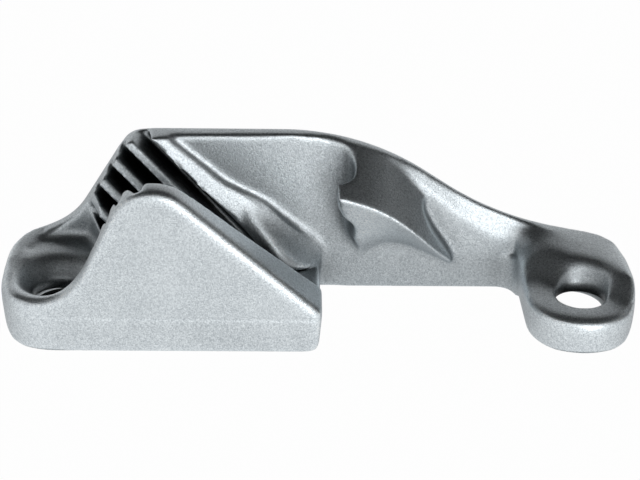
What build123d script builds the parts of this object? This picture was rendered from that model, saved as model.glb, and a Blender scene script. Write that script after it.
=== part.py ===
from build123d import *
import os
from math import cos, radians, sin, tan

# Small cast-aluminium side-entry jam cleat, one casting.
# Origin midway between the two fastening holes on the mounting plane,
# +X towards the side the load comes from, +Y to the back wall, +Z up off the deck.

# Fastening lugs
hole_spacing = 67.0
bore_r = 3.15
lug_r = 7.15
seat_z = 5.4            # level of the seat round each bore and of the mould's parting line
head_r = 5.2            # clear radius for the screw head above each seat
left_cone_rise = 1.1    # rise of the screw seat's cone per millimetre of radius
right_cone_rise = 1.9
end_shy = 0.01          # the two arcs of a lug's end stop this short of meeting

# Outline in plan
depth = 20.15
entry_x = 0.2           # right end of the front jaw, where the rope comes in
web_thick = 2.3
web_corner_r = 2.4
entry_corner_r = 0.6

# Casting draft and roundings
draft_below = 4.5
foot_round = 1.1

# Side profile of the front jaw
rim_z = 7.8
jaw_left_deg = 64.3
jaw_right_deg = 41.6
jaw_peak_x = -22.2
jaw_peak_z = 26.3       # where the two slopes would meet without the rounded peak
jaw_peak_r = 5.4
jaw_foot_r = 8.2

# Side profile of the back wall
crest_z = 22.95
crest_left_x = -24.7
crest_left_deg = 58.0
crest_left_r = 3.7
crest_foot_z = 8.6
crest_foot_r = 9.0
crest_right_x = 5.2
crest_right_deg = 33.7
crest_right_r = 34.0
tail_z = 7.9
tail_deg = 6.4
tail_r = 42.0

# Left rim, where the top slants from the front profile up to the back one
slant_to_x = -36.4
slant_front_y = -4.0
slant_back_y = 11.0

# Rope groove between the jaws
groove_mid_y = 2.3
groove_floor_z = 4.6
groove_floor_half = 2.2
groove_side_deg = 13.0
groove_end_x = -30.5
groove_end_deg = 34.0
groove_lip_r = 2.0
groove_sag_r = 4.0

# Teeth on the inner faces of both jaws
tooth_top_x = -19.3     # where the first tooth's groove meets the ridge of the back jaw
tooth_top_z = 20.2
tooth_deg = 47.0
tooth_pitch = 3.0
tooth_depth_front = 1.8
tooth_depth_back = 3.2
tooth_floor = 0.8       # flat bottom of each groove, before its slanting side
tooth_land = 1.1
tooth_count = 5

# Ridge and funnel face of the back jaw, right of the teeth
ridge_x = -19.4
ridge_z = 22.5
ridge_corners = [(ridge_x, ridge_z), (-12.4, 16.3), (-7.4, 13.6), (1.2, 5.5)]
ridge_radii = [8.0, 8.0]
funnel_side_deg = 13.2
funnel_plan = [(-30.0, 2.2), (-14.0, 6.1), (-8.0, 7.2), (-4.2, 7.9), (-1.5, 8.9), (1.2, 9.9)]

# Pocket in the back wall above the back jaw
pocket_left_y = 9.8
pocket_right_y = 10.3

# Shoulder from the web up to the rim over the right lug: x, then y and z of its lower and upper line
shoulder_lines = [
    (9.7, 10.6, 18.9, 11.0, 19.3),
    (14.0, 10.6, 14.9, 11.2, 16.3),
    (18.4, 10.6, 11.1, 11.4, 13.4),
    (22.0, 10.6, 8.3, 11.4, 11.6),
    (24.8, 10.4, 6.3, 11.4, 10.3),
    (26.0, 9.9, 6.3, 11.3, 9.9),
    (27.2, 8.8, 7.1, 11.2, 9.6),
    (28.6, 7.5, 8.2, 10.9, 9.4),
    (30.5, 6.3, 8.6, 10.2, 9.1),
    (33.0, 5.8, 8.4, 9.3, 8.7),
    (36.0, 5.5, 8.2, 8.5, 8.4),
    (42.0, 5.5, 8.1, 8.0, 8.1),
]

# Slanting top of the right lug behind the screw seat
ramp_right_y = -3.5     # where its foot meets the lug's right end
ramp_left_y = 4.0       # and the lug's left side
ramp_rise = 0.75
ramp_back_y = 9.4
ramp_margin = 0.4

# Trough behind the left screw
channel_z = 7.9
channel_corner_r = 1.5
channel_floor_r = 1.4
channel_plan = [
    (-28.6, 2.0),
    (-37.2, 3.0),
    (-39.0, 6.0),
    (-37.3, 9.5),
    (-33.0, 10.2),
    (-30.3, 9.8),
    (-28.6, 7.0),
]

# Hook over the entry: x, then height at the wall, depth and height of the tip, height of the foot
horn_stations = [
    (1.0, 23.2, 3.4, 17.0, 4.0),
    (5.0, 22.1, 3.5, 16.1, 4.4),
    (9.0, 20.1, 3.9, 14.1, 6.7),
    (12.5, 16.4, 4.8, 11.1, 6.2),
    (15.0, 13.9, 6.2, 8.2, 5.2),
    (17.8, 10.4, 8.8, 5.0, 3.8),
]
horn_section_count = 10
horn_root_sink = 1.0    # how far its top and its foot run on into the wall
horn_foot_sink = 0.4
horn_left_edge = [(1.6, 30.0), (2.1, 16.0), (2.9, 11.6), (4.9, 7.2), (5.9, 3.0)]
horn_right_edge = [
    (19.0, 13.4),
    (16.0, 14.3),
    (14.2, 14.2),
    (13.6, 13.1),
    (13.9, 12.0),
    (15.2, 9.5),
    (16.7, 7.3),
    (17.9, 3.0),
]
bay_x = 2.0             # round bay between the hook's left side and the back jaw
bay_y = 8.1
bay_r = 2.4

# Underside core, deeper below the lugs, so that each bore is only a short collar
shell_wall = 3.0
core_z = 2.2
core_lug_z = 3.8
core_step_x = -27.0

hole_x = hole_spacing / 2
front_y = -lug_r
back_y = front_y + depth
web_y = back_y - web_thick
end_x = hole_x + lug_r
over = 1.0
sky_z = 40.0


def rounded_path(corners, radii):
    """Edges in the XZ plane through the corners, each inner corner an arc of its radius."""
    points = [Vector(x, 0, z) for x, z in corners]
    edges = []
    start = points[0]
    for before, corner, after, radius in zip(points, points[1:], points[2:], radii):
        back = (before - corner).normalized()
        ahead = (after - corner).normalized()
        half = back.get_angle(ahead) / 2
        reach = radius / tan(radians(half))
        middle = (back + ahead).normalized() * (radius / sin(radians(half)) - radius)
        edges.append(Line(start, corner + back * reach))
        edges.append(ThreePointArc(corner + back * reach, corner + middle, corner + ahead * reach))
        start = corner + ahead * reach
    edges.append(Line(start, points[-1]))
    return edges


def above(edges, y_from, y_to):
    """Everything above an XZ path, between two depths."""
    first = edges[0] @ 0
    last = edges[-1] @ 1
    lid = Polyline(last, (last.X, 0, sky_z), (first.X, 0, sky_z), first)
    face = make_face(edges + lid.edges())
    return Pos(0, y_from, 0) * extrude(face, amount=y_to - y_from, dir=(0, 1, 0))


def prism(points, amount, direction):
    """Straight block from a closed outline of 3D points."""
    return extrude(make_face(Polyline(points, close=True)), amount=amount, dir=direction)


def along(x, z, deg, to_x):
    """Point at to_x on the XZ line through (x, z) with the given rise angle."""
    return to_x, z + (to_x - x) * tan(radians(deg))


def crossing(x1, z1, deg1, x2, z2, deg2):
    """Point where two such lines meet."""
    k1 = tan(radians(deg1))
    k2 = tan(radians(deg2))
    x = (z2 - z1 + k1 * x1 - k2 * x2) / (k1 - k2)
    return x, z1 + k1 * (x - x1)


def jaw_block_plan():
    """Plan of the left half: lug, both jaws and the groove between them."""
    width = end_x + entry_x
    block = Pos(entry_x - width / 2, front_y + depth / 2) * Rectangle(width, depth)
    return fillet(block.vertices().sort_by(Axis.X)[:2], lug_r - end_shy)


def right_lug_plan():
    """Plan of the right lug, drawn back to the rear face."""
    block = Pos(hole_x, back_y / 2) * Rectangle(2 * lug_r, back_y)
    block = fillet(block.vertices().sort_by_distance((end_x, back_y, 0))[0], lug_r - end_shy)
    return block + Pos(hole_x, 0) * Circle(lug_r)


def web_plan():
    """Plan of the thin back wall that joins the jaws and the right lug."""
    width = hole_x - entry_x + over
    return Pos(entry_x - over + width / 2, web_y + web_thick / 2) * Rectangle(width, web_thick)


def entry_gap_plan():
    """Opening in front of the web, rounded where the web meets jaw and lug."""
    width = hole_x - entry_x
    gap_d = web_y - front_y + over
    gap = Pos(entry_x + width / 2, web_y - gap_d / 2) * Rectangle(width, gap_d)
    gap -= right_lug_plan()
    at_lug = gap.vertices().sort_by_distance((hole_x - lug_r, web_y, 0))[0]
    gap = fillet(at_lug, web_corner_r)
    at_entry = gap.vertices().sort_by_distance((entry_x, web_y, 0))[0]
    return fillet(at_entry, entry_corner_r)


def footed(plan):
    """Lower half of one region: drafted down from the parting line, foot rounded."""
    lower = extrude(Pos(0, 0, seat_z) * plan, amount=-seat_z, taper=draft_below)
    return fillet(lower.faces().sort_by(Axis.Z)[0].edges(), foot_round)


def blank():
    """Outline raised from the parting line, with the drafted and rounded foot below it."""
    outline = jaw_block_plan() + right_lug_plan() + web_plan() - entry_gap_plan()
    upper = extrude(Pos(0, 0, seat_z) * outline, amount=crest_z + over - seat_z)
    corner = Pos(hole_x - lug_r, web_y - web_corner_r / 2) * Rectangle(2 * web_corner_r, web_corner_r)
    inset = seat_z * tan(radians(draft_below))
    web_top = Pos(0, 0, seat_z) * (web_plan() + (corner - entry_gap_plan()))
    web = Solid.extrude(web_top.faces()[0], Vector(0, inset, -seat_z))
    left = entry_x - 2 * over
    rear = back_y + inset + over
    wedge = prism(
        [(left, back_y, seat_z), (left, back_y - inset, 0), (left, rear, 0), (left, rear, seat_z)],
        hole_x - left + over,
        (1, 0, 0),
    )
    return upper + footed(jaw_block_plan()) + footed(right_lug_plan()) + (web - wedge)


front_edges = rounded_path(
    [
        (-end_x - over, rim_z),
        crossing(0, rim_z, 0, jaw_peak_x, jaw_peak_z, jaw_left_deg),
        (jaw_peak_x, jaw_peak_z),
        along(jaw_peak_x, jaw_peak_z, -jaw_right_deg, entry_x + over),
    ],
    [jaw_foot_r, jaw_peak_r],
)
right_turn = crossing(crest_right_x, crest_z, -crest_right_deg, end_x, tail_z, -tail_deg)
back_edges = rounded_path(
    [
        (-end_x - over, crest_foot_z),
        crossing(0, crest_foot_z, 0, crest_left_x, crest_z, crest_left_deg),
        (crest_left_x, crest_z),
        (crest_right_x, crest_z),
        right_turn,
        along(*right_turn, -tail_deg, end_x + over),
    ],
    [crest_foot_r, crest_left_r, crest_right_r, tail_r],
)


def top_faces():
    """Everything above the jaws, the lugs and the back wall, in side view."""
    front_top = above(front_edges, front_y - over, groove_mid_y)
    left_part = Pos(-end_x + entry_x / 2, 0, 0) * Box(2 * end_x + entry_x, 4 * depth, 4 * sky_z)
    back_top = above(back_edges, groove_mid_y, back_y + over)
    width = slant_back_y - slant_front_y
    span = Pos(slant_to_x - depth, slant_front_y + width / 2, 0) * Box(2 * depth, width, 4 * sky_z)
    far = -end_x - over
    low_side = [(far, slant_front_y, rim_z), (far, slant_back_y, crest_foot_z)]
    high_side = [(far, slant_back_y, sky_z), (far, slant_front_y, sky_z)]
    slant = prism(low_side + high_side, slant_to_x - far, (1, 0, 0))
    return (front_top & left_part) + back_top - span + slant


def groove():
    """Rope groove: a V along X whose floor climbs out at the left end."""
    lean = tan(radians(groove_side_deg))
    top_half = groove_floor_half + (sky_z - groove_floor_z) * lean
    section = prism(
        [
            (-end_x, groove_mid_y - groove_floor_half, groove_floor_z),
            (-end_x, groove_mid_y + groove_floor_half, groove_floor_z),
            (-end_x, groove_mid_y + top_half, sky_z),
            (-end_x, groove_mid_y - top_half, sky_z),
        ],
        end_x + entry_x + over,
        (1, 0, 0),
    )
    ramp_x, ramp_z = groove_end_x, crest_foot_z
    foot_x = ramp_x + (ramp_z - groove_floor_z) / tan(radians(groove_end_deg))
    floor_edges = rounded_path(
        [
            (-end_x + over, ramp_z),
            (ramp_x, ramp_z),
            (foot_x, groove_floor_z),
            (entry_x + over, groove_floor_z),
        ],
        [groove_lip_r, groove_sag_r],
    )
    return section & above(floor_edges, front_y, back_y)


def tooth_grooves(side, deep):
    """Slanting saw-tooth grooves on one inner face; side is -1 for the front jaw, +1 for the back."""
    lean = radians(groove_side_deg)
    run = Vector(cos(radians(tooth_deg)), 0, -sin(radians(tooth_deg)))
    into = Vector(0, side * cos(lean), -sin(lean))
    run = (run - into * run.dot(into)).normalized()
    step = run.cross(into).normalized()
    if step.Z > 0:
        step = step * -1
    wall_y = groove_mid_y + side * (groove_floor_half + (tooth_top_z - groove_floor_z) * tan(lean))
    first = Vector(tooth_top_x, wall_y, tooth_top_z)
    cuts = None
    for i in range(tooth_count):
        edge = first + step * (i * tooth_pitch) - run * sky_z
        lip = edge + step * (tooth_pitch - tooth_land)
        bottom = edge + into * deep
        outline = [edge - into * over, bottom, bottom + step * tooth_floor, lip, lip - into * over]
        tooth = prism(outline, 2 * sky_z, run)
        cuts = tooth if cuts is None else cuts + tooth
    above_floor = Pos(0, 0, groove_floor_z + sky_z / 2) * Box(4 * end_x, 4 * depth, sky_z)
    return cuts & above_floor


def funnel():
    """Smooth flared face of the back jaw that guides the rope in, right of the first tooth."""
    lean = tan(radians(funnel_side_deg))
    rise = sky_z - groove_floor_z
    flare = Spline([(x, y, groove_floor_z) for x, y in funnel_plan])
    first = flare @ 0
    last = flare @ 1
    rest = Polyline(last, (last.X, 0, groove_floor_z), (first.X, 0, groove_floor_z), first)
    sweep_up = extrude(make_face([flare] + rest.edges()), amount=rise, dir=(0, lean, 1))
    slope = -tan(radians(tooth_deg))
    floor_x = tooth_top_x + (groove_floor_z - tooth_top_z) / slope
    sky_x = tooth_top_x + (sky_z - tooth_top_z) / slope
    right = entry_x + over
    side_view = prism(
        [
            (floor_x, 0, groove_floor_z),
            (right, 0, groove_floor_z),
            (right, 0, ridge_corners[-1][1] + over),
            (ridge_corners[1][0], 0, ridge_corners[1][1] + 3 * over),
            (ridge_x, 0, ridge_z + over),
            (ridge_x, 0, sky_z),
            (sky_x, 0, sky_z),
        ],
        2 * depth,
        (0, 1, 0),
    )
    return sweep_up & side_view


def pocket():
    """Space above the back jaw's sloping top, in front of the back wall."""
    right = ridge_corners[-1][0]
    top_view = prism(
        [(ridge_x, 0, 0), (right, 0, 0), (right, pocket_right_y, 0), (ridge_x, pocket_left_y, 0)],
        sky_z,
        (0, 0, 1),
    )
    return above(rounded_path(ridge_corners, ridge_radii), 0, depth) & top_view


def shoulder():
    """Twisting face from the web's front up to the rim, flattening out over the right lug."""
    sections = []
    for x, low_y, low_z, high_y, high_z in shoulder_lines:
        front = front_y - over
        slope = [(x, front, low_z), (x, low_y, low_z), (x, high_y, high_z)]
        lid = [(x, high_y, sky_z), (x, front, sky_z)]
        sections.append(make_face(Polyline(slope + lid, close=True)))
    return loft(sections, ruled=True)


def seat_ramp():
    """Slanting top of the right lug between the flat seat in front and the raised back."""
    right_end = Vector(end_x, ramp_right_y, seat_z)
    left_end = Vector(hole_x - lug_r, ramp_left_y, seat_z)
    run = (left_end - right_end).normalized()
    back = Vector(-run.Y, run.X, 0)
    if back.Y < 0:
        back = back * -1
    up = Vector(0, 0, 1)
    foot = right_end - run * depth
    climb = foot + (back + up * ramp_rise) * depth
    outline = [foot - back * sky_z, foot, climb, climb + up * sky_z, foot - back * sky_z + up * sky_z]
    ramp = prism(outline, 4 * depth, run)
    left = hole_x - lug_r - ramp_margin
    lug_space = Pos(left + end_x / 2, ramp_back_y - depth / 2, sky_z / 2) * Box(end_x, depth, sky_z)
    return ramp & lug_space


def exit_channel():
    """Shallow trough behind the left screw where the rope's tail leaves."""
    plan = make_face(Polyline([(x, y, channel_z) for x, y in channel_plan], close=True))
    plan = fillet(plan.vertices(), channel_corner_r)
    trough = extrude(plan, amount=sky_z - channel_z)
    return fillet(trough.faces().sort_by(Axis.Z)[0].edges(), channel_floor_r)


def spread(first, last, count):
    """Evenly spaced values from first to last."""
    return [first + (last - first) * i / (count - 1) for i in range(count)]


def at_x(curve, x):
    """Point of a curve that runs along X, found by halving."""
    low, high = 0.0, 1.0
    for _ in range(40):
        middle = (low + high) / 2
        if (curve @ middle).X < x:
            low = middle
        else:
            high = middle
    return curve @ high


def horn():
    """Hook that reaches forward from the wall and keeps the rope down at the entry."""
    root = Spline([(x, web_y + horn_root_sink, root_z) for x, root_z, _, _, _ in horn_stations])
    tip = Spline([(x, tip_y, tip_z) for x, _, tip_y, tip_z, _ in horn_stations])
    foot = Spline([(x, web_y + horn_foot_sink, foot_z) for x, _, _, _, foot_z in horn_stations])
    sections = []
    for x in spread(horn_stations[0][0], horn_stations[-1][0], horn_section_count):
        corners = [at_x(root, x), at_x(tip, x), at_x(foot, x)]
        sections.append(make_face(Polyline([(x, p.Y, p.Z) for p in corners], close=True)))
    shape = loft(sections, ruled=True)
    shape -= beside(horn_left_edge, -end_x)
    shape -= beside(horn_right_edge, end_x)
    shape -= above(back_edges, 0, back_y + over)
    return shape - Pos(bay_x, bay_y, sky_z / 2) * Cylinder(bay_r, sky_z)


def beside(curve, far_x):
    """Everything between a curve in the side view and far_x, over the whole depth."""
    edge = Spline([(x, 0, z) for x, z in curve])
    first = edge @ 0
    last = edge @ 1
    rest = Polyline(last, (far_x, 0, last.Z), (far_x, 0, first.Z), first)
    return extrude(make_face([edge] + rest.edges()), amount=depth, dir=(0, 1, 0))


def seat(x, cone_rise):
    """Bore through a lug with the cone the screw head sinks into and room for the head above."""
    cone_h = (head_r - bore_r) * cone_rise
    cone = Pos(x, 0, seat_z + cone_h / 2) * Cone(bore_r, head_r, cone_h)
    bore = Pos(x, 0, seat_z / 2) * Cylinder(bore_r, seat_z + 2 * over)
    room = Pos(x, 0, seat_z + cone_h + sky_z / 2) * Cylinder(head_r, sky_z)
    return cone + bore + room


def core(plan, x_from, x_to, top_z):
    """Hollow of the underside below one region, leaving an even wall."""
    inner = offset(plan, -shell_wall)
    span = Pos((x_from + x_to) / 2, 0, 0) * Box(x_to - x_from, 4 * depth, 4 * sky_z)
    return extrude(inner, amount=top_z) & span


body = blank() - top_faces()
body -= groove()
body -= tooth_grooves(1, tooth_depth_back)
body -= tooth_grooves(-1, tooth_depth_front)
body -= funnel()
body -= pocket()
body -= shoulder()
body -= seat_ramp()
body -= exit_channel()
body += horn()
body -= seat(-hole_x, left_cone_rise)
body -= seat(hole_x, right_cone_rise)
body -= core(jaw_block_plan(), -end_x, core_step_x, core_lug_z)
body -= core(jaw_block_plan(), core_step_x, entry_x, core_z)
body -= core(right_lug_plan(), 0, end_x, core_lug_z)

os.makedirs("parts", exist_ok=True)
export_step(body, "parts/cleat_body.step")
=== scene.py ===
import math

import bmesh
import bpy
import numpy as np
from mathutils import Matrix, Vector
from mathutils.kdtree import KDTree


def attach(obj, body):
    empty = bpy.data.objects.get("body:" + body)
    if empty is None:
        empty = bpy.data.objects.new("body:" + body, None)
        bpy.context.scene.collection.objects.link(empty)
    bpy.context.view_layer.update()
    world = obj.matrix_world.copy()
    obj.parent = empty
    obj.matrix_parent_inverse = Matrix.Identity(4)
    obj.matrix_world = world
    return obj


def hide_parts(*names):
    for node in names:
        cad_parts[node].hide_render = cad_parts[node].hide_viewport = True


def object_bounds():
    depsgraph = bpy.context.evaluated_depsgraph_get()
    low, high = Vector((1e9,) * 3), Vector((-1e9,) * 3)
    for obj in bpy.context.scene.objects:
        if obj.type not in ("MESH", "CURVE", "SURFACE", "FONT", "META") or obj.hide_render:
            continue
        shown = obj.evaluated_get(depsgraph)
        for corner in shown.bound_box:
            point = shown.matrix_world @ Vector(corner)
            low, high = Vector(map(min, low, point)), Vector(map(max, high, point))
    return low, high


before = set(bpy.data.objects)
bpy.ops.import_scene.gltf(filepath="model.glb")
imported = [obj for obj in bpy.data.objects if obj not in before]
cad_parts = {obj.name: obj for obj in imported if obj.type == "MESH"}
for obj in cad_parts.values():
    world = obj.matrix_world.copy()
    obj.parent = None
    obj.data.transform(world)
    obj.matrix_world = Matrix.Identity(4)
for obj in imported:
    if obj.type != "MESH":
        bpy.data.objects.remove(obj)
cad_low, cad_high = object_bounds()


# The casting: one piece of cast aluminium, blasted and tumbled, so that every edge is softened and
# the skin is an even satin grain. It is made from the CAD solid's own surface, remeshed finely and
# eased by smoothing: more on the outside and round the screw seats, less in the teeth.

mm = 0.001
voxel = 0.2 * mm
merge_distance = 0.001 * mm


def evaluated_mesh(piece, name):
    """New mesh holding what the piece's modifiers make of it."""
    bpy.context.view_layer.update()
    depsgraph = bpy.context.evaluated_depsgraph_get()
    mesh = bpy.data.meshes.new_from_object(piece.evaluated_get(depsgraph))
    mesh.name = name
    return mesh


merged = bmesh.new()
merged.from_mesh(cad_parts["cleat_body"].data)
bmesh.ops.remove_doubles(merged, verts=merged.verts, dist=merge_distance)
raw_mesh = bpy.data.meshes.new("casting_raw")
merged.to_mesh(raw_mesh)
merged.free()
raw = bpy.data.objects.new("casting_raw", raw_mesh)
bpy.context.scene.collection.objects.link(raw)
skin = raw.modifiers.new("even skin", "REMESH")
skin.mode = "VOXEL"
skin.voxel_size = voxel
fine_mesh = evaluated_mesh(raw, "casting_fine")
bpy.data.objects.remove(raw)

points = np.zeros(len(fine_mesh.vertices) * 3)
fine_mesh.vertices.foreach_get("co", points)
points = points.reshape(-1, 3)
normals = np.zeros(len(points) * 3)
fine_mesh.vertices.foreach_get("normal", normals)
normals = normals.reshape(-1, 3)
edge_ends = np.zeros(len(fine_mesh.edges) * 2, np.int64)
fine_mesh.edges.foreach_get("vertices", edge_ends)
edge_ends = edge_ends.reshape(-1, 2)


def ramp(values, low, high):
    """0 up to low, 1 from high, and straight between them."""
    return np.clip((values - low) / (high - low), 0.0, 1.0)


def plateau(values, rise_from, rise_to, fall_from, fall_to):
    """0 outside, 1 from rise_to to fall_from, and straight on both slopes."""
    return ramp(values, rise_from, rise_to) * (1 - ramp(values, fall_from, fall_to))


def eased(points, edges, passes, weight):
    """Points after rounds of moving each one towards the mean of its neighbours.

    One round: p + 0.5 w (sum of the neighbours / their count - p), with w the point's weight.
    """
    count = np.bincount(edges.ravel(), minlength=len(points))[:, None]
    for _ in range(passes):
        total = np.zeros_like(points)
        for axis in range(3):
            total[:, axis] = np.bincount(edges[:, 0], points[edges[:, 1], axis], len(points))
            total[:, axis] += np.bincount(edges[:, 1], points[edges[:, 0], axis], len(points))
        points = points + 0.5 * weight[:, None] * (total / count - points)
    return points


# The teeth and the outside. All places here are in millimetres: four of them say where a share
# starts, is full, starts to fade and ends, and two say where it starts and is full.
teeth_x = (-31, -29, -14, -10)
teeth_y = (-4.6, -3.6, 8.6, 9.6)
teeth_z = (3.4, 4.4)
front_y = (5.2, 6.4)
back_y = (11.6, 12.8)
end_depth = (1.6, 0.6)
x, y, z = points.T / mm
end_x = cad_high.x / mm
in_teeth = plateau(x, *teeth_x) * plateau(y, *teeth_y) * ramp(z, *teeth_z)
at_ends = ramp(np.abs(x), end_x - end_depth[0], end_x - end_depth[1])
outside = np.maximum.reduce([ramp(-y, *front_y), ramp(y, *back_y), at_ends])

# The pocket's wall goes back towards the web, so that the two meet level at the entry. The ridge
# of the back jaw, which is its lower edge, falls from ridge_left_x towards the entry.
ridge_left_x = -7.4
ridge_left_z = 13.9
ridge_fall = 0.942
pocket_shift = 0.42
pocket_slope_x = (-9, 0.2)
pocket_end_x = 0.3
pocket_y = (9.5, 10.6)
pocket_facing = -0.7
ridge_top = ridge_left_z - (x - ridge_left_x) * ridge_fall
on_pocket = (normals[:, 1] < pocket_facing) & (y > pocket_y[0]) & (y < pocket_y[1])
on_pocket &= (z > ridge_top) & (x < pocket_end_x)
points[:, 1] += np.where(on_pocket, pocket_shift * mm * ramp(x, *pocket_slope_x) ** 2, 0.0)

# Below the ridge the wall of the funnel bends forward, like the foot of a bowl, by trough_bend
# times the square of how far it lies below trough_start.
trough_x = (-10, -5.5, -0.4, 0.4)
trough_y = (7.4, 9.9)
trough_low_z = 3.6
trough_facing = -0.3
trough_start = 1.0
trough_depth = 2.6
trough_bend = 0.3
y = points[:, 1] / mm
below_ridge = np.clip(ridge_top - trough_start - z, 0.0, trough_depth)
in_trough = (normals[:, 1] < trough_facing) & (y > trough_y[0]) & (y < trough_y[1])
in_trough &= z > trough_low_z
along_trough = plateau(x, *trough_x)
points[:, 1] -= np.where(in_trough, trough_bend * below_ridge**2 * along_trough * mm, 0.0)
raw_points = points

# Everything is eased a little, all but the teeth some more, and the outside most of all.
tooth_passes = 6
inner_passes = 20
outer_passes = 64
points = eased(points, edge_ends, tooth_passes, np.ones(len(points)))
points = eased(points, edge_ends, inner_passes, 1 - in_teeth)
points = eased(points, edge_ends, outer_passes, outside)

# The entry, where the pocket meets the web.
entry_passes = 30
entry_x = (-3.5, -1.5, 2.0, 4.0)
entry_y = (7.5, 9.0, 11.2, 11.8)
x, y = points[:, :2].T / mm
points = eased(points, edge_ends, entry_passes, plateau(x, *entry_x) * plateau(y, *entry_y))

# The bent foot of the funnel, from half of trough_start below the ridge.
trough_passes = 50
z = points[:, 2] / mm
on_foot = in_trough * along_trough * (z < ridge_top - trough_start / 2)
points = eased(points, edge_ends, trough_passes, on_foot)

# The bay at the root of the horn.
bay_passes = 60
bay_x = (1.0, 2.0, 5.0, 6.0)
bay_y = (3.6, 4.6, 11.2, 11.8)
bay_z = (6.0, 7.5, 14.0, 15.0)
x, y, z = points.T / mm
in_bay = plateau(x, *bay_x) * plateau(y, *bay_y) * plateau(z, *bay_z)
points = eased(points, edge_ends, bay_passes, in_bay)

# Round both screw seats: hole_x is how far the holes lie to either side, and seat_reach how far
# from a hole the easing goes, on the left and on the right.
seat_passes = 100
hole_x = 33.5
seat_from = (3.7, 4.5)
seat_reach = (7.4, 11)
seat_fade = 0.8
seat_z = (2.5, 4.5)
x, y, z = points.T / mm
from_hole = np.hypot(np.abs(x) - hole_x, y)
reach = np.where(x > 0, seat_reach[1], seat_reach[0])
round_hole = ramp(from_hole, *seat_from) * (1 - ramp(from_hole, reach - seat_fade, reach))
points = eased(points, edge_ends, seat_passes, round_hole * ramp(z, *seat_z))

# The mould's parting line is a shallow nick round the outside. The skin stays just inside the CAD box.
parting_z = 5.4
seam_half = 0.22
seam_nick = 0.1
inset = 0.002 * mm
z = points[:, 2] / mm
seam = (1 - ramp(np.abs(z - parting_z), 0.0, seam_half)) * outside
points = points - seam_nick * mm * seam[:, None] * normals * (1, 1, 0)
points = np.clip(points, np.array(cad_low) + inset, np.array(cad_high) - inset)
fine_mesh.vertices.foreach_set("co", points.ravel())
fine_mesh.update()

kept_share = 0.34
fine = bpy.data.objects.new("casting_fine", fine_mesh)
bpy.context.scene.collection.objects.link(fine)
thinned = fine.modifiers.new("fewer faces", "DECIMATE")
thinned.ratio = kept_share
casting_mesh = evaluated_mesh(fine, "cleat_casting")
bpy.data.objects.remove(fine)
casting_mesh.shade_smooth()

# An edge is worn as far as the easing pulled it in, fully from worn_shift on, and the front of the horn
# below its tip gets a painted sheen, brightened and glossed like a worn edge.
worn_shift = 0.35 * mm
sheen_x = (2, 4, 15, 18)
sheen_y = (8.0, 9.5)
sheen_z = (15.5, 17.0)
sheen_facing = (0.5, 0.8)
x, y, z = points.T / mm
pulled_in = ((raw_points - points) * normals).sum(1)
on_horn = plateau(x, *sheen_x) * (1 - ramp(y, *sheen_y)) * (1 - ramp(z, *sheen_z))
# Painted highlight on the forward-facing front of the horn below its tip.
painted_horn_sheen = on_horn * ramp(-normals[:, 1], *sheen_facing)
wear_and_sheen_share = np.maximum(ramp(pulled_in, 0.0, worn_shift), painted_horn_sheen)
nearest = KDTree(len(points))
for i, place in enumerate(points):
    nearest.insert(place, i)
nearest.balance()
source = np.array([nearest.find(v.co)[1] for v in casting_mesh.vertices])
wear_and_sheen = casting_mesh.attributes.new("wear_and_sheen", "FLOAT", "POINT")
wear_and_sheen.data.foreach_set("value", wear_and_sheen_share[source])
casting = bpy.data.objects.new("cleat_casting", casting_mesh)
bpy.context.scene.collection.objects.link(casting)


def node(tree, kind, inputs=None, **settings):
    """Adds a shader node with its settings, and gives its sockets a value or a link."""
    made = tree.nodes.new(kind)
    for name, value in settings.items():
        setattr(made, name, value)
    for key, value in (inputs or {}).items():
        if isinstance(value, bpy.types.NodeSocket):
            tree.links.new(value, made.inputs[key])
        else:
            made.inputs[key].default_value = value
    return made


def maths(tree, operation, *terms, clamp=False):
    """Result of a Math node over the given values and sockets."""
    made = node(tree, "ShaderNodeMath", dict(enumerate(terms)), operation=operation, use_clamp=clamp)
    return made.outputs[0]


def remapped(tree, value, from_min, from_max, to_min, to_max):
    """Result of a straight, clamped Map Range node."""
    ranges = {"From Min": from_min, "From Max": from_max, "To Min": to_min, "To Max": to_max}
    return node(tree, "ShaderNodeMapRange", {"Value": value, **ranges}).outputs[0]


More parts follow.
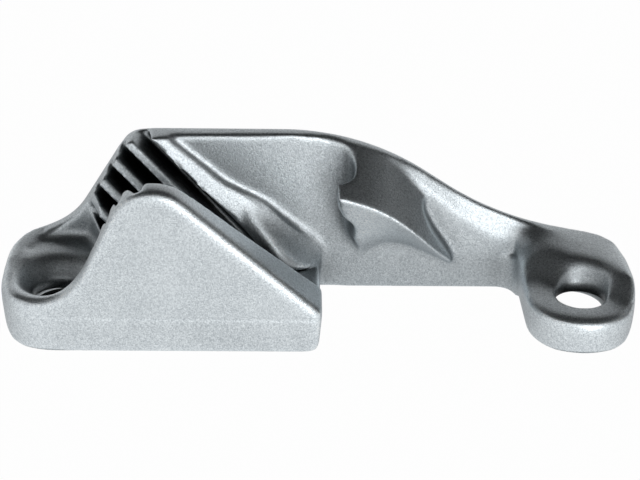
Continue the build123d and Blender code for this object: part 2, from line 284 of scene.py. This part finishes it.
def blasted_skin():
    """Group for the blasted skin: grain and soft blotches about 0, less the rare pits, and wear with the
    horn's painted sheen 0 to 1.

    Scales are in cells per metre: 7000 makes specks of about 0.15 mm, and 240 blotches of about 4 mm.
    """
    mid_noise = (0.3, 0.7)
    unpitted_share = 0.93
    pit_floor = 0.03
    pit_rim = 0.1
    pit_depth = 3.0
    wear_and_sheen_least = 0.75
    wear_and_sheen_spread = 0.5
    tree = bpy.data.node_groups.new("blasted_skin", "ShaderNodeTree")
    for name in ("Tone", "Height", "Wear_and_sheen"):
        tree.interface.new_socket(name, in_out="OUTPUT", socket_type="NodeSocketFloat")
    place = node(tree, "ShaderNodeTexCoord").outputs["Object"]
    grain = node(tree, "ShaderNodeTexNoise", {"Vector": place, "Scale": 7000, "Detail": 1}).outputs["Fac"]
    coarse = node(tree, "ShaderNodeTexNoise", {"Vector": place, "Scale": 3400, "Detail": 1}).outputs["Fac"]
    blotch = node(tree, "ShaderNodeTexNoise", {"Vector": place, "Scale": 240, "Detail": 3}).outputs["Fac"]
    pits = node(tree, "ShaderNodeTexVoronoi", {"Vector": place, "Scale": 260}, feature="F1").outputs
    fine_part = remapped(tree, grain, *mid_noise, -1.0, 1.0)
    coarse_part = remapped(tree, coarse, *mid_noise, -0.6, 0.6)
    blotch_part = remapped(tree, blotch, *mid_noise, -0.15, 0.15)
    rare = maths(tree, "GREATER_THAN", pits["Color"], unpitted_share)
    near = remapped(tree, pits["Distance"], pit_floor, pit_rim, 1.0, 0.0)
    pit = maths(tree, "MULTIPLY", rare, near)
    speck = maths(tree, "ADD", fine_part, coarse_part)
    tone = maths(tree, "ADD", speck, blotch_part)
    wear_and_sheen_share = node(tree, "ShaderNodeAttribute", attribute_name="wear_and_sheen").outputs["Fac"]
    patchy = maths(tree, "MULTIPLY_ADD", blotch, wear_and_sheen_spread, wear_and_sheen_least)
    ends = node(tree, "NodeGroupOutput").inputs
    tree.links.new(maths(tree, "SUBTRACT", tone, pit), ends["Tone"])
    tree.links.new(maths(tree, "MULTIPLY_ADD", pit, -pit_depth, speck), ends["Height"])
    tree.links.new(maths(tree, "MULTIPLY", wear_and_sheen_share, patchy, clamp=True), ends["Wear_and_sheen"])
    return tree


def cast_aluminium():
    """Satin grey metal whose tone follows the grain, with painted shade darkening the recesses, and
    brighter and glossier where worn and where the horn has a painted sheen.
    """
    dark_speck = (0.4, 0.44, 0.467, 1)
    pale_speck = (0.79, 0.84, 0.865, 1)
    speck_range = 1.4
    recess_reach = 9 * mm
    closed_in = 0.32
    open_enough = 0.88
    darkest_painted_shade = 0.02
    sheen_brightening = 0.3
    brightest = (0.95, 0.95, 0.95)
    blasted_roughness = 0.43
    worn_roughness = 0.38
    material = bpy.data.materials.new("cast_aluminium")
    material.use_nodes = True
    tree = material.node_tree
    shader = tree.nodes["Principled BSDF"]
    shader.inputs["Metallic"].default_value = 1.0
    skin_look = node(tree, "ShaderNodeGroup", node_tree=blasted_skin()).outputs
    grained = remapped(tree, skin_look["Tone"], -speck_range, speck_range, 0.0, 1.0)
    grey = node(
        tree,
        "ShaderNodeMix",
        {"Factor": grained, "A": dark_speck, "B": pale_speck},
        data_type="RGBA",
    )
    open_air = node(
        tree,
        "ShaderNodeAmbientOcclusion",
        {"Distance": recess_reach},
        samples=8,
        only_local=True,
    )
    # Painted shade: the grey is darkened, down to near black, where ambient occlusion within 9 mm finds the
    # surface closed in, as in the teeth, grooves and bores; worn and painted-sheen places are spared.
    painted_recess_shade = remapped(tree, open_air.outputs["AO"], closed_in, open_enough, darkest_painted_shade, 1.0)
    left_unshaded = maths(tree, "MAXIMUM", painted_recess_shade, skin_look["Wear_and_sheen"])
    # Painted highlight: worn edges and the horn's painted sheen are brightened by up to 30 percent.
    sheen_gain = maths(tree, "MULTIPLY_ADD", skin_look["Wear_and_sheen"], sheen_brightening, 1.0)
    lightness = maths(tree, "MULTIPLY", left_unshaded, sheen_gain)
    scaled = node(
        tree,
        "ShaderNodeVectorMath",
        {0: grey.outputs["Result"], 3: lightness},
        operation="SCALE",
    )
    shaded = node(
        tree,
        "ShaderNodeVectorMath",
        {0: scaled.outputs[0], 1: brightest},
        operation="MINIMUM",
    )
    gloss = remapped(tree, skin_look["Wear_and_sheen"], 0.0, 1.0, blasted_roughness, worn_roughness)
    relief = node(
        tree,
        "ShaderNodeBump",
        {"Height": skin_look["Height"], "Strength": 0.3, "Distance": 0.02 * mm},
    )
    tree.links.new(shaded.outputs[0], shader.inputs["Base Color"])
    tree.links.new(gloss, shader.inputs["Roughness"])
    tree.links.new(relief.outputs[0], shader.inputs["Normal"])
    return material


casting_mesh.materials.clear()
casting_mesh.materials.append(cast_aluminium())
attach(casting, "root")
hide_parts("cleat_body")


# The studio table: white laminate that runs out of the picture on all sides and shows as paper
# white. What the metal mirrors of it fades towards the cleat, a painted shade, and it is dark right under
# both ends, where the laminate's own shading shows. Where the left screw hole shows it to the eye, it is
# painted near black as painted shade.

table_side = 4.0
table_z = -0.02 * mm        # a hair under the casting, so that their faces don't meet


def flat_panel(name, width, height):
    """Square-cut panel in its own XY plane, centred."""
    mesh = bpy.data.meshes.new(name)
    x, y = width / 2, height / 2
    mesh.from_pydata([(-x, -y, 0), (x, -y, 0), (x, y, 0), (-x, y, 0)], [], [(0, 1, 2, 3)])
    panel = bpy.data.objects.new(name, mesh)
    bpy.context.scene.collection.objects.link(panel)
    return panel


def seen_share(tree, by_eye, in_gloss):
    """by_eye for rays from the camera or through glass, in_gloss for those off a gloss, else 0."""
    path = node(tree, "ShaderNodeLightPath").outputs
    eye = maths(tree, "MAXIMUM", path["Is Camera Ray"], path["Is Transmission Ray"])
    eye_share = maths(tree, "MULTIPLY", eye, by_eye)
    gloss_share = maths(tree, "MULTIPLY", path["Is Glossy Ray"], in_gloss)
    return maths(tree, "MAXIMUM", eye_share, gloss_share)


def within(tree, place, centre, radius):
    """1 where the place lies less than the radius from the centre, else 0."""
    apart = node(tree, "ShaderNodeVectorMath", {0: place, 1: centre}, operation="DISTANCE")
    return maths(tree, "LESS_THAN", apart.outputs["Value"], radius)


def white_table():
    """White laminate that keeps a faint shadow, shows as paper white, and is painted near black where the
    left screw hole shows it.
    """
    under_end_radius = 6.3 * mm
    seen_y = 6 * mm
    seen_radius = 5 * mm
    fade_from_y = -10 * mm
    fade_to_y = 3 * mm
    share_beside_cleat = 0.46
    paper_share = 0.985
    laminate_white = (0.86, 0.86, 0.86, 1)
    painted_hole_shade = (0.02, 0.02, 0.02, 1)
    material = bpy.data.materials.new("white_table")
    material.use_nodes = True
    tree = material.node_tree
    shader = tree.nodes["Principled BSDF"]
    shader.inputs["Roughness"].default_value = 0.9
    shader.inputs["Specular IOR Level"].default_value = 0.1
    place = node(tree, "ShaderNodeTexCoord").outputs["Object"]
    place_y = node(tree, "ShaderNodeSeparateXYZ", {0: place}).outputs["Y"]
    under_left = within(tree, place, (-hole_x * mm, 0, 0), under_end_radius)
    under_right = within(tree, place, (hole_x * mm, 0, 0), under_end_radius)
    in_left_hole = within(tree, place, (-hole_x * mm, seen_y, 0), seen_radius)
    under_ends = maths(tree, "MAXIMUM", under_left, under_right)
    # Painted shade in the metal's reflections: the white glow fades towards the cleat, so that the
    # laminate's own shading shows more there.
    fading = remapped(tree, place_y, fade_from_y, fade_to_y, 1.0, share_beside_cleat)
    by_eye = maths(tree, "SUBTRACT", paper_share, in_left_hole, clamp=True)
    in_gloss = maths(tree, "SUBTRACT", fading, under_ends, clamp=True)
    # Painted shade: where the left screw hole shows it, the laminate is painted near black.
    laminate = node(
        tree,
        "ShaderNodeMix",
        {"Factor": in_left_hole, "A": laminate_white, "B": painted_hole_shade},
        data_type="RGBA",
    )
    tree.links.new(laminate.outputs["Result"], shader.inputs["Base Color"])
    paper = node(tree, "ShaderNodeEmission", {"Color": (1, 1, 1, 1), "Strength": 1.0})
    both = node(
        tree,
        "ShaderNodeMixShader",
        {0: seen_share(tree, by_eye, in_gloss), 1: shader.outputs[0], 2: paper.outputs[0]},
    )
    tree.links.new(both.outputs[0], tree.nodes["Material Output"].inputs["Surface"])
    return material


studio_table = flat_panel("studio_table", table_side, table_side)
studio_table.location.z = table_z
studio_table.data.materials.append(white_table())


# The cards: a black one overhead, which the horn's sloping top mirrors, a pale one behind for the
# upward faces, a dim one to the left and a dark one to the right. The camera doesn't see them.


def studio_card(name, centre, aim, width, height, glow):
    """Black card that glows evenly, and that reflections and soft light meet but the camera doesn't."""
    card = flat_panel(name, width, height)
    card.location = centre
    card.rotation_mode = "QUATERNION"
    card.rotation_quaternion = (Vector(aim) - Vector(centre)).to_track_quat("Z", "Y")
    card.visible_camera = False
    material = bpy.data.materials.new(name)
    material.use_nodes = True
    shader = material.node_tree.nodes["Principled BSDF"]
    shader.inputs["Base Color"].default_value = (0.03, 0.03, 0.03, 1)
    shader.inputs["Roughness"].default_value = 1.0
    shader.inputs["Specular IOR Level"].default_value = 0.0
    shader.inputs["Emission Color"].default_value = (1, 1, 1, 1)
    shader.inputs["Emission Strength"].default_value = glow
    card.data.materials.append(material)


studio_card("card_above", (0, 0.05, 0.5), aim=(0, 0.05, 0), width=1.3, height=1.2, glow=0.0)
studio_card("card_behind", (0, 0.62, 0.25), aim=(0, 0, 0.25), width=1.6, height=0.5, glow=0.72)
studio_card("card_left", (-0.75, 0.1, 0.25), aim=(0, 0.1, 0.25), width=1.1, height=0.5, glow=0.5)
studio_card("card_right", (0.75, 0.1, 0.25), aim=(0, 0.1, 0.25), width=1.1, height=0.5, glow=0.08)


# The lamps: a long softbox in front, which draws the light line along each rounded edge, and a
# small one to the right, close to the table, which lights the ridge. The air round them is white.

cleat_middle = Vector((0, 0.003, 0.01))
air_in_light = 0.4
air_in_gloss = 0.5


def soft_lamp(name, centre, width, height, watts):
    """Rectangular softbox aimed at the cleat."""
    lamp = bpy.data.lights.new(name, "AREA")
    lamp.shape = "RECTANGLE"
    lamp.size = width
    lamp.size_y = height
    lamp.energy = watts
    holder = bpy.data.objects.new(name, lamp)
    holder.location = centre
    holder.rotation_mode = "QUATERNION"
    holder.rotation_quaternion = (cleat_middle - Vector(centre)).to_track_quat("-Z", "Y")
    bpy.context.scene.collection.objects.link(holder)


soft_lamp("lamp_front", (-0.1, -0.85, 0.24), width=0.9, height=0.24, watts=0.5)
soft_lamp("lamp_right", (0.29, -0.8, 0.09), width=0.16, height=0.14, watts=1.2)

world = bpy.data.worlds.new("studio_air")
world.use_nodes = True
bpy.context.scene.world = world
sky = world.node_tree
backdrop = sky.nodes["Background"]
backdrop.inputs["Color"].default_value = (1, 1, 1, 1)
level = remapped(sky, seen_share(sky, 1.0, air_in_gloss), 0.0, 1.0, air_in_light, 1.0)
sky.links.new(level, backdrop.inputs["Strength"])
bpy.context.scene.view_settings.view_transform = "Standard"


# The camera: a long lens on the photograph's line of sight, 27.5 degrees above the table and
# almost square to the cleat's front, turned a degree so that the picture leans as the photo does.

look_down = math.radians(27.5)
swing = math.radians(1.17)
lean = math.radians(0.96)
target = Vector((-0.075, 2.5, 11.7)) * mm
distance = 200 * mm

ahead = Vector(
    (
        math.sin(swing) * math.cos(look_down),
        math.cos(swing) * math.cos(look_down),
        -math.sin(look_down),
    )
)
level_right = Vector((math.cos(swing), -math.sin(swing), 0))
level_up = level_right.cross(ahead)
right = level_right * math.cos(lean) + level_up * math.sin(lean)
up = level_up * math.cos(lean) - level_right * math.sin(lean)
stance = Matrix((right, up, -ahead)).transposed().to_4x4()
stance.translation = target - ahead * distance
camera = bpy.data.objects.new("camera", bpy.data.cameras.new("camera"))
camera.data.sensor_width = 36.0
camera.data.lens = 88.116
camera.data.clip_start = 0.01
camera.data.clip_end = 10.0
camera.matrix_world = stance
bpy.context.scene.collection.objects.link(camera)
bpy.context.scene.camera = camera
